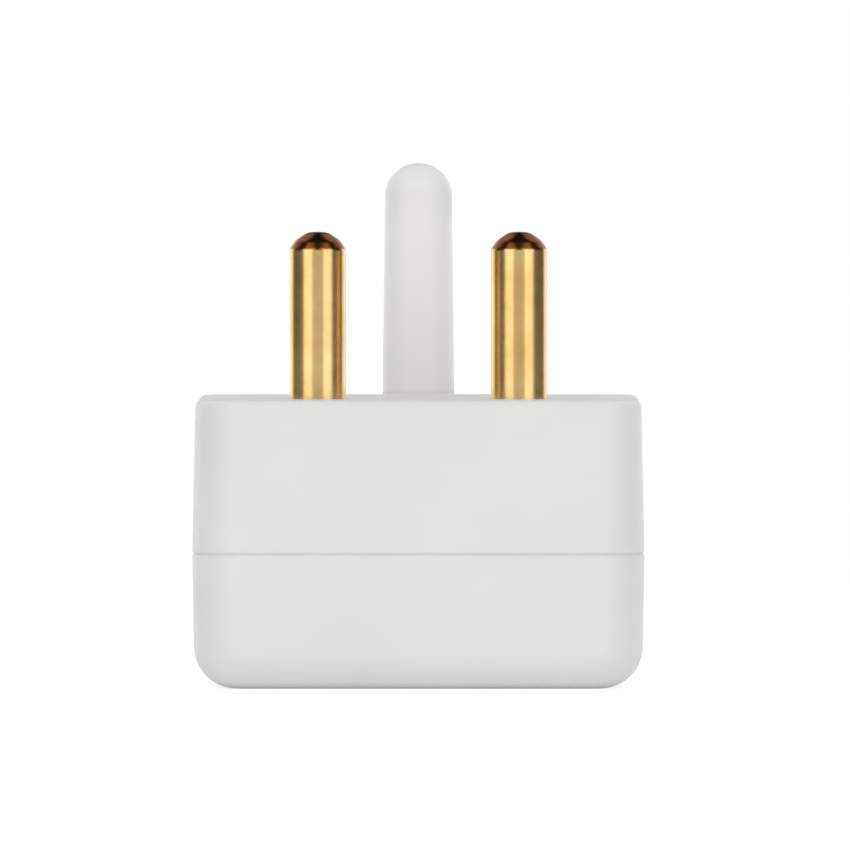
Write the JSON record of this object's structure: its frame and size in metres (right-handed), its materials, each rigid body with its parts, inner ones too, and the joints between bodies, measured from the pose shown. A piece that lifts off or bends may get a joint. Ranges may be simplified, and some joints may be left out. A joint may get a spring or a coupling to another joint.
{
  "type": "switched plug adapter",
  "caption": "Switched plug adapter: three round pins on one face of a rounded white housing, two-pin outlets and a recessed rocker switch on the other.",
  "frame": {"origin": "middle of the socket face, which the adapter stands on with its pins up", "axes": "+Z along the pins, away from the housing; +Y from the two brass pins to the earth pin; +X from the line pin to the neutral pin"},
  "size_m": [0.0568, 0.062, 0.0658],
  "materials": {
    "housing_white": "satin moulded plastic",
    "switch_white": "glossy moulded plastic",
    "pin_brass": "turned and polished",
    "strip_brass": "rolled sheet",
    "contact_bronze": "rolled spring sheet",
    "contact_silver": "polished",
    "carrier_nylon": "moulded, uncoloured",
    "plated_steel": "zinc plated",
    "spring_steel": "drawn wire"
  },
  "bodies": {
    "housing": {"pin_shell": "housing_white", "socket_shell": "housing_white", "line_pin": "pin_brass", "neutral_pin": "pin_brass", "line_inlet_strip": "strip_brass", "line_outlet_strip": "strip_brass", "neutral_strip": "strip_brass", "line_contact_lower": "contact_bronze", "line_contact_upper": "contact_bronze", "neutral_contact_lower": "contact_bronze", "neutral_contact_upper": "contact_bronze", "contact_rivets": "pin_brass", "contact_carrier": "carrier_nylon", "housing_screws": "plated_steel", "switch_body": "switch_white", "fixed_contact": "contact_silver", "feed_terminal": "strip_brass", "load_terminal": "strip_brass"},
    "rocker": {"rocker": "switch_white", "rocker_spring": "spring_steel", "rocker_plunger": "pin_brass"},
    "bridge": {"switch_bridge": "contact_bronze", "moving_contact": "contact_silver"}
  },
  "joints": [
    {"name": "rocker_tilt", "type": "hinge", "parent": "housing", "child": "rocker", "pos_m": [0, -0.0176, 0.0067], "axis": [0, -1, 0], "range_deg": [0, 20]},
    {"name": "bridge_tilt", "type": "hinge", "parent": "housing", "child": "bridge", "pos_m": [0, -0.0176, 0.01355], "axis": [0, -1, 0], "range_deg": [-16, 0]}
  ],
  "couplings": [
    {"joint": "bridge_tilt", "follows": "rocker_tilt", "ratio": -0.8}
  ]
}
